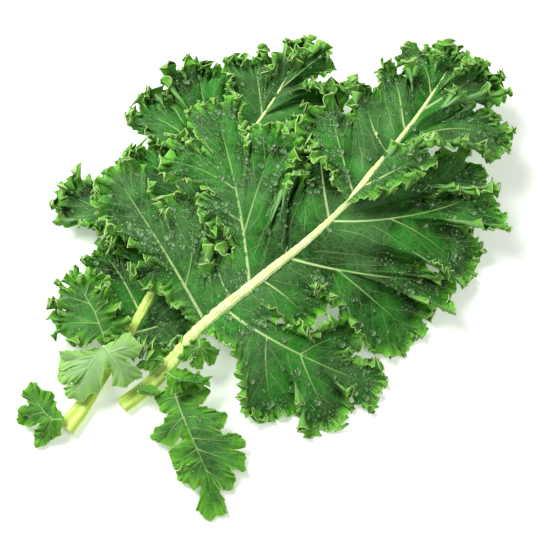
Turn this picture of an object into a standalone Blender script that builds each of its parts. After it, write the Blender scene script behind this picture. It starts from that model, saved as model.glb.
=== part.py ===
"""A small bunch of curly kale: two leaves as cut and a young one on top, laid on a table.

Each leaf is a pale stalk that runs on as the midrib, a thin dark blade with ruffled lobes on
branching side ribs, and a few leaflets low on the stalk. A blade is worked out as one sheet that
is followed round its ribs: every fibre of it starts on a rib and ends on the margin, and the
margin is waved, toothed and curled. The sheet then gets its thickness, with the ribs left proud.

The tables are in millimetres and degrees, and the meshes are in metres. +Z is up, the table is
z = 0, and the origin is the middle of the bunch's footprint. Headings are seen from above and
run anticlockwise from +X.
"""

import math

import bmesh
import bpy
import numpy as np

MM = 0.001

# ---- driving dimensions, mm ----------------------------------------------------------------
FOOTPRINT_CENTRE = (1.37, 0.47)  # middle of the bunch in the tables' own coordinates
BLADE_THICK = 0.8
RIB_THICK = (2.6, 1.9, 1.4)  # at the midrib, on a side rib and on its branches
STALK_GAP = 0.9  # clear space between a blade and the stalk that carries it
STATION = 7.0  # spacing of points along a rib
COLUMN = 5.4  # spacing of points along the margin
ROWS = (0.5, 0.8, 1.0)  # where the fibres are bent, as shares of the way from rib to margin
TIP_REACH = 0.16  # share of a lobe that lies beyond the end of its rib
LONGEST_REACH = 17.0
BASE_WING = 6.0  # how far up the rib a blade or leaflet has its first fibres
ARCH = 14.0  # how much a fibre is arched, degrees up at the rib and down at the margin
RUFFLE_LENGTH = 19.0
RUFFLE_HEIGHT = 4.2
RUFFLE_SWAY = 0.35  # sideways swing of the ruffles, as a share of their height
TOOTH_LENGTH = 13.0
TOOTH_DEPTH = 2.4
OPEN_CUT = 26.0  # distance between two ribs at which the margins there are fully ruffled
HALF_CUT = 0.40  # how far a lobe may reach across the cut beside it, as a share of its width
STALK_SIDES = 12
STALK_RING = 10.0  # spacing of the stalk's rings

# ---- the leaves ----------------------------------------------------------------------------
# A rib is: name, parent, share of the parent's length where it starts, heading, length, bend,
# arch (rise of its middle), height of its end, half width of its lobe, curl of the margin,
# share of it that is joined to its neighbours, and tilt of the lobe (its clockwise side up).
TOP_LEAF = {
    "name": "top_leaf",
    "stalk": [(-90, -86, 4.3), (-80, -78, 4.2), (-66, -66, 8), (-43, -41, 18), (-12, -19, 31),
              (20, 7, 36), (42, 30, 35), (64, 56, 31), (79, 82, 26)],
    "stalk_half_widths": [(0.0, 4.7), (0.15, 4.5), (0.27, 3.5), (0.45, 3.1), (0.60, 2.3), (0.75, 1.8),
                          (1.0, 0.8)],
    "blade_from": 0.27,
    "stalk_to": 0.86,
    "ribs": [
        ("skirt", "mid", 0.33, -25, 104, 30, 8, 6, 30, -10, 0.70, 6),
        ("skirt_low", "skirt", 0.33, -85, 45, 25, 4, 3, 26, 0, 0.82, 8),
        ("skirt_drop", "skirt", 0.60, -62, 44, 20, 4, 2, 26, 0, 0.82, 8),
        ("skirt_up", "skirt", 0.60, 28, 41, -20, 2, 12, 20, 10, 0.75, -6),
        ("pocket", "mid", 0.47, -36, 38, -5, 3, 20, 18, 10, 0.55, 10),
        ("wide", "mid", 0.54, -3, 100, 30, 6, 14, 30, 10, 0.78, 14),
        ("wide_low", "wide", 0.36, -32, 60, 10, 4, 5, 30, 0, 0.82, 12),
        ("fan", "mid", 0.69, 15, 106, 35, 4, 22, 34, 10, 0.82, 16),
        ("fan_low", "fan", 0.42, -25, 59, -15, 4, 9, 30, 0, 0.82, 12),
        ("cup", "mid", 0.85, 8, 73, 35, 0, 16, 26, 0, 0.82, 4),
        ("tip_left", "mid", 0.94, 104, 38, -5, 3, 18, 22, 0, 0.75, -8),
        ("plume", "mid", 0.68, 94, 83, -10, 4, 31, 26, 0, 0.85, -8),
        ("flag", "mid", 0.54, 81, 54, -50, 2, 32, 22, 10, 0.92, -8),
        ("tower", "mid", 0.44, 101, 121, 10, 6, 48, 30, 0, 0.60, -6),
        ("tower_right", "tower", 0.29, 73, 75, 0, 3, 46, 24, 0, 0.80, 4),
        ("tower_left", "tower", 0.35, 160, 29, 45, 3, 44, 20, 0, 0.75, 0),
        ("tower_high", "tower", 0.55, 153, 50, 15, 3, 46, 24, 0, 0.80, 0),
        ("gap", "mid", 0.37, 98, 38, -75, 2, 24, 16, 10, 0.60, 6),
        ("apron", "mid", 0.28, 122, 113, 0, 8, 34, 28, 10, 0.65, -6),
        ("apron_right", "apron", 0.23, 90, 61, 40, 4, 34, 26, 0, 0.80, 0),
        ("apron_left", "apron", 0.30, -179, 29, 110, 2, 25, 18, 0, 0.75, 0),
    ],
    "phase": 3.1,
}
# The upper leaf is a young one that lies along the top leaf's outer end.
UPPER_LEAF = {
    "name": "upper_leaf",
    "stalk": [(43, 29, 43), (55, 43, 45), (70, 63, 44), (91, 94, 40), (113, 133, 32)],
    "stalk_half_widths": [(0.0, 2.3), (0.3, 1.8), (0.6, 1.2), (1.0, 0.5)],
    "blade_from": 0.0,
    "stalk_to": 0.75,
    "ribs": [
        ("tongue", "mid", 0.11, 31, 50, 20, 4, 43, 11, -10, 0.50, 0),
        ("cup_far", "mid", 0.36, 20, 88, -45, 6, 26, 26, 20, 0.75, 12),
        ("shoulder", "mid", 0.64, 44, 65, 15, 4, 20, 24, 20, 0.80, 10),
        ("crown_left", "mid", 0.77, 104, 42, 30, 4, 32, 20, 20, 0.75, -8),
        ("crest", "mid", 0.48, 94, 52, -5, 5, 34, 22, 20, 0.80, -10),
        ("brow", "mid", 0.32, 101, 55, -45, 6, 34, 22, 20, 0.82, -12),
        ("back", "mid", 0.08, 101, 69, -10, 5, 40, 26, 20, 0.80, -14),
    ],
    "phase": 5.2,
}
LOWER_LEAF = {
    "name": "lower_leaf",
    "stalk": [(-122, -100, 5.1), (-114, -88, 4.5), (-106, -74, 6), (-94, -54, 9), (-80, -28, 10),
              (-66, 3, 11), (-47, 42, 12), (-22, 84, 14), (-2, 113, 22), (14, 136, 34)],
    "stalk_half_widths": [(0.0, 5.6), (0.06, 4.8), (0.14, 3.9), (0.35, 3.0), (0.55, 2.2), (0.80, 1.3),
                          (1.0, 0.7)],
    "blade_from": 0.18,
    "stalk_to": 0.78,
    "ribs": [
        ("low_right", "mid", 0.24, 22, 40, 20, 3, 4, 20, 0, 0.60, 4),
        ("under_right", "mid", 0.37, 17, 57, -10, 2, 6, 24, 0, 0.75, 8),
        ("mid_right", "mid", 0.53, 7, 64, -15, 2, 7, 26, 0, 0.80, 8),
        ("upper_right", "mid", 0.70, 13, 61, 25, 3, 10, 26, 0, 0.80, 8),
        ("scroll", "mid", 0.85, 16, 60, -50, 2, 14, 24, 20, 0.75, 0),
        ("scroll_top", "mid", 0.93, 30, 38, 35, 5, 42, 22, 30, 0.75, 0),
        ("peak", "mid", 0.84, 99, 41, 5, 4, 26, 24, 10, 0.80, -8),
        ("crown", "mid", 0.70, 106, 75, -20, 5, 22, 28, 0, 0.80, -12),
        ("ear", "mid", 0.66, 132, 79, 45, 5, 14, 28, 0, 0.78, -10),
        ("wing", "mid", 0.58, 134, 60, 10, 3, 9, 26, 0, 0.78, -8),
        ("arm", "mid", 0.42, 143, 86, 15, 5, 13, 30, 0, 0.70, -10),
        ("arm_low", "mid", 0.31, 121, 52, 10, 4, 8, 26, 0, 0.70, -6),
    ],
    "phase": 0.7,
}
# A leaflet has a line of its own in place of a stalk.
LEAFLETS = [
    {
        "name": "end_leaflet",
        "line": [(-122, -96, 10.6), (-128, -97, 12), (-134, -92, 12), (-139, -85, 12), (-141, -81, 13)],
        "width": 9,
        "ribs": [
            ("end_low", "mid", 0.20, -128, 15, -20, 1, 3, 8, 0, 0.50, 0),
            ("end_left", "mid", 0.50, -178, 18, -30, 1, 7, 8, 0, 0.60, 0),
        ],
    },
    {
        "name": "saddle_leaflet",
        "line": [(-100, -53, 18.5), (-101, -48, 23), (-106, -36, 27), (-112, -26, 26), (-119, -14, 22)],
        "width": 13,
        "ribs": [
            ("saddle_east", "mid", 0.18, 30, 15, -60, 3, 16, 10, 10, 0.80, 0),
            ("saddle_back", "mid", 0.46, 55, 17, 20, 3, 20, 10, 10, 0.80, 0),
            ("saddle_top", "mid", 0.70, 74, 19, -10, 3, 21, 11, 10, 0.80, 0),
            ("saddle_west", "mid", 0.32, 168, 30, -20, 4, 12, 13, 10, 0.80, 0),
            ("saddle_left", "mid", 0.58, 150, 28, -20, 3, 13, 12, 10, 0.80, 0),
        ],
    },
    # This one lies folded over, with its pale underside up.
    {
        "name": "fold_leaflet",
        "line": [(-99.5, -56, 26), (-96, -62, 27), (-90, -69, 23), (-86, -74, 18)],
        "width": 10,
        "ribs": [
            ("fold_left", "mid", 0.12, -126, 35, -5, 2, 14, 12, 0, 0.60, 0),
            ("fold_out", "fold_left", 0.24, 180, 25, -30, 3, 14, 13, 0, 0.90, 0),
            ("fold_low", "fold_left", 0.55, -172, 21, -10, 2, 12, 12, 0, 0.92, 0),
            ("fold_right", "mid", 0.30, 20, 19, 10, 2, 24, 12, 0, 0.85, 0),
        ],
    },
    {
        "name": "cut_leaflet",
        "line": [(-80, -76, 12), (-76, -80, 14.5), (-71, -82, 13)],
        "width": 7,
        "ribs": [],
    },
    {
        "name": "cup_leaflet",
        "line": [(-65, -62.5, 15.5), (-69, -62, 18), (-73, -62, 18.5), (-78, -63, 16)],
        "width": 12,
        "ribs": [],
    },
    {
        "name": "long_leaflet",
        "line": [(-62, -70, 7), (-59, -79, 9), (-56, -88, 11), (-51, -100, 11), (-45, -113, 9),
                 (-39, -126, 6), (-36, -138, 3)],
        "width": 12,
        "ribs": [
            ("long_a", "mid", 0.20, 5, 19, -30, 1, 11, 9, 0, 0.70, 0),
            ("long_b", "mid", 0.34, -10, 26, -25, 2, 10, 12, 0, 0.80, 0),
            ("long_c", "mid", 0.50, -4, 31, 15, 3, 8, 13, 0, 0.84, 0),
            ("long_d", "mid", 0.66, -12, 30, 30, 3, 5, 13, 0, 0.84, 0),
            ("long_e", "mid", 0.82, -28, 18, 20, 1, 4, 11, 0, 0.84, 0),
            ("long_f", "mid", 0.22, -160, 13, 20, 1, 8, 8, 0, 0.60, 0),
            ("long_g", "mid", 0.34, -130, 20, 15, 2, 7, 11, 0, 0.65, 0),
            ("long_h", "mid", 0.60, -145, 17, -5, 1, 6, 9, 0, 0.60, 0),
            ("long_i", "mid", 0.76, -140, 17, 5, 1, 4, 10, 0, 0.70, 0),
        ],
    },
    {
        "name": "ruffle_leaflet",
        "line": [(-63, -69, 15.5), (-58, -75, 22.5), (-51, -78, 25), (-42, -77, 20)],
        "width": 11,
        "ribs": [],
    },
    {
        "name": "hem_leaflet",
        "line": [(-45, -50, 20), (-44, -54, 22), (-45, -59, 21.5), (-47, -65, 18)],
        "width": 10,
        "ribs": [
            ("hem_left", "mid", 0.34, -150, 13, 0, 1, 17, 7, 0, 0.80, 0),
            ("hem_right", "mid", 0.34, -40, 13, 0, 1, 17, 7, 0, 0.80, 0),
        ],
    },
]


# ---- lines ---------------------------------------------------------------------------------
def lengths_along(line):
    """The distance of each point of a line from its start."""
    steps = np.linalg.norm(np.diff(line, axis=0), axis=1)
    return np.concatenate([[0.0], np.cumsum(steps)])


def read_at(values, known, wanted):
    """The rows of values, known at some distances, read at the wanted ones."""
    return np.stack([np.interp(wanted, known, column) for column in values.T], axis=1)


def point_at(line, distance):
    return read_at(line, lengths_along(line), distance)


def even_line(line, count):
    """The same line as count + 1 evenly spaced points."""
    return point_at(line, np.linspace(0, lengths_along(line)[-1], count + 1))


def smooth_line(points, spacing):
    """A Catmull-Rom curve through the points, as a line of evenly spaced points."""
    p = np.array(points, float)
    ends = np.vstack([2 * p[0] - p[1], p, 2 * p[-1] - p[-2]])
    t = np.linspace(0, 1, 16, endpoint=False)[:, None]
    pieces = []
    for a, b, c, d in zip(ends, ends[1:], ends[2:], ends[3:]):
        pieces.append(b + 0.5 * t * (c - a + t * (2 * a - 5 * b + 4 * c - d + t * (3 * b - a - 3 * c + d))))
    dense = np.vstack(pieces + [p[-1:]])
    return even_line(dense, max(3, round(lengths_along(dense)[-1] / spacing)))


def unit(v):
    return v / np.maximum(np.linalg.norm(v, axis=-1, keepdims=True), 1e-9)


# ---- the skeleton of ribs ------------------------------------------------------------------
class Rib:
    """A rib from base to end, with its lobe's measures and the ribs that branch off each side."""

    def __init__(self, line, rank, half_width, curl, join, tilt, half_gap=0.0):
        self.line = line
        self.rank = rank
        self.half_width, self.curl, self.join, self.tilt = half_width, curl, join, tilt
        self.heading = unit(np.gradient(line, axis=0))
        self.side = unit(np.cross((0, 0, 1), self.heading))
        offset = self.side * np.broadcast_to(half_gap, len(line))[:, None]
        self.edge = {-1: line - offset, 1: line + offset}
        self.branches = {-1: [], 1: []}
        reach = min(LONGEST_REACH, lengths_along(line)[-1] * TIP_REACH / (1 - TIP_REACH))
        self.tip = line[-1] + self.heading[-1] * reach

    def away_from_base(self, side):
        """A short line that leaves the rib's base backwards and to one side."""
        start = self.edge[side][0]
        return start + np.outer((1.0, 30.0), unit(side * self.side[0] - self.heading[0]))


def arc_line(start, heading, length, bend, arch, end_height):
    """A rib's line: a circular arc seen from above, with a humped rise from start to end height."""
    count = max(2, round(length / STATION))
    t = np.linspace(0, 1, count + 1)
    fine = np.linspace(0, 1, 101)
    angle = np.radians(heading + bend * (fine[:-1] - 0.5))
    x = np.concatenate([[0], np.cumsum(np.cos(angle))]) * length / 100
    y = np.concatenate([[0], np.cumsum(np.sin(angle))]) * length / 100
    z = (end_height - start[2]) * t + arch * np.sin(math.pi * t)
    return start + np.stack([np.interp(t, fine, x), np.interp(t, fine, y), z], axis=1)


def grow_ribs(midrib, rows, first):
    """Puts the side ribs on a midrib whose own start is this share of the whole stalk."""
    ribs = {"mid": midrib}
    for name, parent, at, heading, length, bend, arch, height, width, curl, join, tilt in rows:
        on = ribs[parent]
        share = (at - first) / (1 - first) if parent == "mid" else at
        station = round(share * (len(on.line) - 1))
        leaving = math.radians(heading - bend / 2)
        leftward = on.heading[station][0] * math.sin(leaving) > on.heading[station][1] * math.cos(leaving)
        side = 1 if leftward else -1
        line = arc_line(on.edge[side][station], heading, length * (1 - TIP_REACH), bend, arch, height)
        ribs[name] = Rib(line, on.rank + 1, width, curl, join, tilt)
        on.branches[side].append((station, ribs[name]))


def walk(rib):
    """The way round a rib and its branches, out along the right side and back along the left, as
    a list of (point, rank, the rib whose tip is passed there or None)."""
    steps = []
    last = len(rib.line) - 1
    for side, stations in ((-1, range(last + 1)), (1, range(last, -1, -1))):
        for i in stations:
            steps.append((rib.edge[side][i], rib.rank, None))
            for station, branch in rib.branches[side]:
                if station == i:
                    steps += walk(branch)
                    steps.append((rib.edge[side][i], rib.rank, None))
        if side < 0:
            steps.append((rib.line[-1], rib.rank, rib))
    return steps


def sectors(midrib):
    """The stretches of the walk between lobe tips, as (rib before, rib after, points, ranks).
    The first has no rib before it and the last has none after it."""
    found = []
    before = None
    points, ranks = [], []
    for point, rank, passed in walk(midrib):
        if not points or np.linalg.norm(point - points[-1]) > 1e-6:
            points.append(point)
            ranks.append(rank)
        if passed:
            found.append((before, passed, np.array(points), np.array(ranks)))
            before, points, ranks = passed, [point], [rank]
    found.append((before, None, np.array(points), np.array(ranks)))
    return found


# ---- the margin ----------------------------------------------------------------------------
# The fibres are the rows of one array with these columns.
AT, ROOT, END, ACROSS, CURL, TILT, ROOM = 0, slice(1, 4), slice(4, 7), slice(7, 10), 10, 11, 12


def half_margin(own, other, half_width, sinus, overlap):
    """The margin of one side of a lobe, from its tip to the cut beside it, and the way across
    that cut. own and other are the lines of this rib and the next, out from between them."""
    reach = lengths_along(own)[-1]
    s = np.linspace(reach, sinus, 40)
    share = (s - sinus) / (reach - sinus)
    here = point_at(own, s)
    here += (smoothed(here, 9) - here) * np.sin(math.pi * share)[:, None]
    across = point_at(other, np.minimum(s, lengths_along(other)[-1])) - here
    ahead = unit(np.gradient(here, axis=0))
    sideways = unit(across - (across * ahead).sum(1, keepdims=True) * ahead)
    rounding = min(1.3 * half_width, 0.6 * (reach - sinus))
    shape = np.sqrt(np.clip(1 - (np.clip(s - reach + rounding, 0, None) / rounding) ** 2, 0, 1))
    room = np.linalg.norm(across, axis=1)
    half = np.minimum(half_width * shape, HALF_CUT * room + overlap * np.clip(room - 16, 0, None))[:, None]
    blend = np.clip(share / 0.3, 0, 1)[:, None]
    blend = blend * blend * (3 - 2 * blend)
    return here + (1 - blend) * across / 2 + blend * sideways * half, across


def half_sector(points, tip_at, middle_at, lines, rib, curl_there, sinus, overlap, turn):
    """The fibres of one side of a lobe, from its tip to the cut beside it. turn is 1 where the
    walk goes that way and -1 where it comes back."""
    margin, across = half_margin(lines[0], lines[1], rib.half_width, sinus, overlap)
    along = lengths_along(margin)
    count = max(3, round(along[-1] / COLUMN))
    share = np.linspace(0, 1, count + 1)
    fibres = np.empty((count + 1, 13))
    fibres[:, AT] = tip_at + (middle_at - tip_at) * share
    fibres[:, ROOT] = point_at(points, fibres[:, AT])
    fibres[:, END] = even_line(margin, count)
    way = read_at(across, along, share * along[-1])
    fibres[:, ACROSS] = turn * way
    fibres[:, CURL] = rib.curl + (curl_there - rib.curl) * share / 2
    fibres[:, TILT] = -turn * rib.tilt * np.sqrt(np.sin(math.pi * share).clip(0))
    fibres[:, ROOM] = np.linalg.norm(way, axis=1)
    return fibres


def middle_of(points, ranks, before, after):
    """How far along a sector's points the deepest place between its two lobes is."""
    along = lengths_along(points)
    run = np.flatnonzero(ranks == ranks.min())
    if before is None:
        return 0.0
    if after is None:
        return along[-1]
    if run[0] == 0:
        return along[run[-1]]
    if run[-1] == len(ranks) - 1:
        return along[run[0]]
    return (along[run[0]] + along[run[-1]]) / 2


def sector_fibres(before, after, points, ranks, midrib):
    """The fibres of one sector, in the order of the walk."""
    along = lengths_along(points)
    middle_at = middle_of(points, ranks, before, after)
    middle = point_at(points, [middle_at])
    if before is None:
        line_before = np.vstack([middle, midrib.away_from_base(-1)])
    else:
        line_before = np.vstack([middle, points[along < middle_at - 1e-6][::-1], before.tip[None]])
    if after is None:
        line_after = np.vstack([middle, midrib.away_from_base(1)])
    else:
        line_after = np.vstack([middle, points[along > middle_at + 1e-6], after.tip[None]])
    lines = line_before, line_after
    if before is None or after is None:
        sinus, overlap = BASE_WING, 0.0
    else:
        shorter = min(lengths_along(line)[-1] for line in lines)
        sinus = shorter * (before.join + after.join) / 2
        overlap = 0.25 * min(1.0, abs(before.tilt + after.tilt) / 28)
    halves = []
    if before is not None:
        curl = after.curl if after is not None else before.curl
        halves.append(half_sector(points, 0.0, middle_at, lines, before, curl, sinus, overlap, 1))
    if after is not None:
        curl = before.curl if before is not None else after.curl
        half = half_sector(points, along[-1], middle_at, lines[::-1], after, curl, sinus, overlap, -1)
        halves.append(half[::-1] if before is None else half[-2::-1])
    return np.vstack(halves)


def wobble(a, length, phase):
    """The running phase of an uneven wave of about this length, at distances a."""
    turn = 2 * math.pi * a / length
    return turn + 1.4 * np.sin(turn / 3.7 + phase) + 0.8 * np.sin(turn / 2.3 + 2.1 * phase)


def smoothed(values, spread_over):
    """A running average over an odd number of neighbours, with the ends held."""
    half = spread_over // 2
    padded = np.pad(values, ((half, half), (0, 0)), mode="edge")
    window = np.ones(spread_over) / spread_over
    return np.stack([np.convolve(column, window, "valid") for column in padded.T], axis=1)


# ---- the blade -----------------------------------------------------------------------------
def zipped(inner, inner_at, outer, outer_at, turns):
    """Triangles between two rows of points whose places along the walk are given: each step
    goes on by one point on whichever row is behind. At the inner row's turns, where a rib ends
    and the walk comes back, the outer row always goes on by at least one."""
    i = j = 0
    held = False
    made = []
    while i < len(inner) - 1 or j < len(outer) - 1:
        inner_next = inner_at[i + 1] if i < len(inner) - 1 else math.inf
        outer_next = outer_at[j + 1] if j < len(outer) - 1 else math.inf
        if inner_next <= outer_next and not held:
            made.append((inner[i], outer[j], inner[i + 1]))
            i += 1
            held = i in turns
        else:
            made.append((inner[i], outer[j], outer[j + 1]))
            j += 1
            held = False
    return made


def whole_walk(midrib):
    """The points of the walk, their ranks and distances, and all fibres, each once."""
    points, ranks, fibres = [], [], []
    start = 0.0
    for before, after, some, their_ranks in sectors(midrib):
        part = sector_fibres(before, after, some, their_ranks, midrib)
        part[:, AT] += start
        start += lengths_along(some)[-1]
        last = after is None
        points.append(some if last else some[:-1])
        ranks.append(their_ranks if last else their_ranks[:-1])
        fibres.append(part if last else part[:-1])
    points = np.vstack(points)
    return points, np.concatenate(ranks), lengths_along(points), np.vstack(fibres)


def fibre_rows(fibres, phase):
    """The points of every fibre at the shares in ROWS, arched, curled, ruffled and toothed."""
    outward = unit(fibres[:, END] - fibres[:, ROOT])
    reach = np.linalg.norm(fibres[:, END] - fibres[:, ROOT], axis=1)
    up = unit(smoothed(unit(np.cross(outward, unit(fibres[:, ACROSS]))), 5))
    up = unit(up - (up * outward).sum(1, keepdims=True) * outward)
    along = np.cross(up, outward)
    room = np.minimum(1, fibres[:, ROOM] / OPEN_CUT)
    margin = lengths_along(fibres[:, END])
    free = 0.06 * fibres[:, ROOM]
    tooth = np.minimum(TOOTH_DEPTH, free) * np.sin(wobble(margin, TOOTH_LENGTH, phase + 2))
    reach = reach + np.clip(tooth, -0.15 * reach, None)
    height = RUFFLE_HEIGHT * (0.75 + 0.35 * np.sin(margin / 31 + phase)) * room * np.minimum(1, reach / 16)
    wave = wobble(margin, RUFFLE_LENGTH, phase)
    rows = []
    place = fibres[:, ROOT]
    last = 0.0
    for v in ROWS:
        middle = (v + last) / 2
        bend = ARCH * (1 - 2 * middle) + fibres[:, TILT] + fibres[:, CURL] * max(0.0, middle - 0.35) / 0.5
        bend = np.radians(bend)[:, None]
        place = place + (reach * (v - last))[:, None] * (np.cos(bend) * outward + np.sin(bend) * up)
        ramp = max(0.0, (v - 0.3) / 0.7) ** 1.3
        swing = (ramp * height * np.sin(wave))[:, None] * up
        sway = (ramp * np.minimum(RUFFLE_SWAY * height, free) * np.sin(2 * wave))[:, None] * along
        rows.append(place + swing + sway)
        last = v
    return rows


def blade_sheet(midrib, phase):
    """A blade as one sheet: its points, its triangles and the blade's thickness at each point."""
    points, ranks, along, fibres = whole_walk(midrib)
    rows = fibre_rows(fibres, phase)
    count = len(fibres)
    every = np.arange(count)
    sparse = np.unique(np.append(every[::2], count - 1))
    rows[0] = rows[0][sparse]
    starts = np.cumsum([len(points)] + [len(row) for row in rows])
    turns = set(1 + np.flatnonzero(np.linalg.norm(points[2:] - points[:-2], axis=1) < 1e-6))
    first_row = starts[0] + np.arange(len(sparse))
    triangles = zipped(np.arange(len(points)), along, first_row, fibres[sparse, AT], turns)
    triangles += zipped(first_row, sparse, starts[1] + every, every, ())
    for j in range(count - 1):
        a, b = starts[1] + j, starts[2] + j
        triangles += [(a, b, b + 1), (a, b + 1, a + 1)]
    thick = np.full(starts[-1], BLADE_THICK)
    thick[: len(points)] = np.array(RIB_THICK)[np.minimum(ranks, 2)]
    points = np.vstack([points] + rows)
    points[:, 2] = np.maximum(points[:, 2], thick / 2)
    return points, np.array(triangles), thick


def add_object(name, mesh, material):
    mesh.materials.append(material)
    obj = bpy.data.objects.new(name, mesh)
    bpy.context.scene.collection.objects.link(obj)
    return obj


def add_blade(name, midrib, phase, material):
    """A blade: the sheet with its thickness, which a vertex group scales down off the ribs."""
    points, triangles, thick = blade_sheet(midrib, phase)
    points[:, :2] -= FOOTPRINT_CENTRE
    mesh = bpy.data.meshes.new(name)
    mesh.from_pydata((points * MM).tolist(), [], triangles.tolist())
    obj = add_object(name, mesh, material)
    group = obj.vertex_groups.new(name="thickness")
    for i, value in enumerate(thick):
        group.add([i], float(value / RIB_THICK[0]), "REPLACE")
    sheet = bmesh.new()
    sheet.from_mesh(mesh)
    bmesh.ops.remove_doubles(sheet, verts=sheet.verts, dist=1e-6)
    sheet.to_mesh(mesh)
    sheet.free()
    solid = obj.modifiers.new("thickness", "SOLIDIFY")
    solid.thickness = RIB_THICK[0] * MM
    solid.offset = 0
    solid.vertex_group = "thickness"
    return obj


# ---- the stalk -----------------------------------------------------------------------------
def stalk_section(half_width, groove):
    """A stalk's cross-section: a low top with a groove along it and a deep round underside with
    a narrow flat. Points run from the right over the top."""
    angle = 2 * math.pi * (np.arange(STALK_SIDES) + 0.5) / STALK_SIDES
    across = np.cos(angle)
    top = 0.62 * np.sin(angle) - groove * np.exp(-((across / 0.35) ** 2))
    under = np.maximum(0.97 * np.sin(angle), -0.93)
    return half_width * np.stack([across, np.where(np.sin(angle) > 0, top, under)], axis=1)


def add_stalk(name, line, half_widths, material):
    """The stalk and midrib as one loft of cross-sections along the line."""
    count = round(lengths_along(line)[-1] / STALK_RING)
    rings = even_line(line, count)
    heading = unit(np.gradient(rings, axis=0))
    side = unit(np.cross((0, 0, 1), heading))
    up = np.cross(heading, side)
    shape = bmesh.new()
    made = []
    for i, centre in enumerate(rings):
        share = i / count
        section = stalk_section(half_widths(share * lengths_along(line)[-1]), 0.22 * max(0.0, 1 - 3 * share))
        ring = centre - section[:, :1] * side[i] + section[:, 1:] * up[i]
        ring[:, 2] = np.maximum(ring[:, 2], 0)
        ring[:, :2] -= FOOTPRINT_CENTRE
        made.append([shape.verts.new(p) for p in ring * MM])
    for ring, following in zip(made, made[1:]):
        for k in range(STALK_SIDES):
            n = (k + 1) % STALK_SIDES
            shape.faces.new((ring[k], ring[n], following[n], following[k]))
    shape.faces.new(made[0])
    shape.faces.new(made[-1])
    bmesh.ops.triangulate(shape, faces=shape.faces)
    bmesh.ops.recalc_face_normals(shape, faces=shape.faces)
    mesh = bpy.data.meshes.new(name)
    shape.to_mesh(mesh)
    shape.free()
    add_object(name, mesh, material)


# ---- putting it together -------------------------------------------------------------------
def finish_of(name, colour, roughness):
    material = bpy.data.materials.new(name)
    material.use_nodes = True
    shader = material.node_tree.nodes["Principled BSDF"]
    shader.inputs["Base Color"].default_value = (*colour, 1)
    shader.inputs["Roughness"].default_value = roughness
    shader.inputs["Metallic"].default_value = 0
    return material


def add_leaf(leaf, green, pale):
    line = smooth_line(leaf["stalk"], STATION)
    along = lengths_along(line)
    table = np.array(leaf["stalk_half_widths"])

    def half_widths(distance):
        return np.interp(distance, table[:, 0] * along[-1], table[:, 1])

    first = round(leaf["blade_from"] * (len(line) - 1))
    last = round(leaf["stalk_to"] * (len(line) - 1))
    gap = half_widths(along) + STALK_GAP + BLADE_THICK / 2
    gap[last + 1 :] = 0
    midrib = Rib(line[first:], 0, 14, 10, 0.6, 0, gap[first:])
    grow_ribs(midrib, leaf["ribs"], first / (len(line) - 1))
    add_blade(leaf["name"] + "_blade", midrib, leaf["phase"], green)
    add_stalk(leaf["name"] + "_stalk", line[: last + 1], half_widths, pale)


def add_leaflet(leaflet, phase, green):
    line = smooth_line(leaflet["line"], STATION)
    midrib = Rib(line, 1, leaflet["width"], 0, 0.5, 0)
    grow_ribs(midrib, leaflet["ribs"], 0)
    add_blade(leaflet["name"], midrib, phase, green)


def main():
    for obj in list(bpy.data.objects):
        bpy.data.objects.remove(obj)
    green = finish_of("kale_blade_green", (0.06, 0.19, 0.045), 0.5)
    pale = finish_of("kale_stalk_pale_green", (0.55, 0.66, 0.22), 0.4)
    add_leaf(LOWER_LEAF, green, pale)
    add_leaf(TOP_LEAF, green, pale)
    add_leaf(UPPER_LEAF, green, pale)
    for phase, leaflet in enumerate(LEAFLETS):
        add_leaflet(leaflet, phase, green)


main()
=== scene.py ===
"""A small bunch of wet curly kale on a white table: two leaves as cut, one lying over the other, a
young leaf on top of them, and the leaflets that grow low on the stalks.

Each blade is one sheet, worked out along fibres that run from a rib to the margin. The tables are
in millimetres and degrees, headings are seen from above and run anticlockwise from +X.
"""

import math

import bmesh
import bpy
import numpy as np
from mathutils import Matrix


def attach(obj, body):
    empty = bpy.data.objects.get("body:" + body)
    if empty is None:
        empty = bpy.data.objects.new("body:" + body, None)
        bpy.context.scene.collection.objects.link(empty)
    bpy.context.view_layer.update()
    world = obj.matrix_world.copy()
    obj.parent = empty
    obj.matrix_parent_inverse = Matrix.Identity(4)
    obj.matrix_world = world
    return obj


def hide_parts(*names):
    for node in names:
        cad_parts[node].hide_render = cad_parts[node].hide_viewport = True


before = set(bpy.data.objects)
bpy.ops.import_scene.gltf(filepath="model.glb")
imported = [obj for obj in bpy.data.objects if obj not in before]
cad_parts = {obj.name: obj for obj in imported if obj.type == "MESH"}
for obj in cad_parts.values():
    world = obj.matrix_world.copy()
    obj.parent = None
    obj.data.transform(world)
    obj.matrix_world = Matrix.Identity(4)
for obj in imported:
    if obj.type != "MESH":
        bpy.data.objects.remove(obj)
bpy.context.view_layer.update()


# ---- The table, the light and the camera -----------------------------------------------------
# The bunch lies on a plain white sheet in a bright studio, lit a little from below. The light is
# broad and soft, stronger from the back left, so the shadows are pale and close.
def linear(hex_colour):
    """An sRGB hex colour as the linear RGBA that Blender works in."""
    value = np.array([int(hex_colour[i : i + 2], 16) / 255 for i in (1, 3, 5)])
    return (*np.where(value <= 0.04045, value / 12.92, ((value + 0.055) / 1.055) ** 2.4).tolist(), 1.0)


def add_node(tree, kind, **settings):
    """Adds a node to a tree. A setting named in_3 or in_Roughness is for that input, and is either
    its value or an output to join it to. Any other sets the node's own property."""
    node = tree.nodes.new(kind)
    for name, value in settings.items():
        if not name.startswith("in_"):
            setattr(node, name, value)
            continue
        key = name[3:].replace("_", " ")
        socket = node.inputs[int(key) if key.isdigit() else key]
        if isinstance(value, bpy.types.NodeSocket):
            tree.links.new(value, socket)
        else:
            socket.default_value = value
    return node


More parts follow.
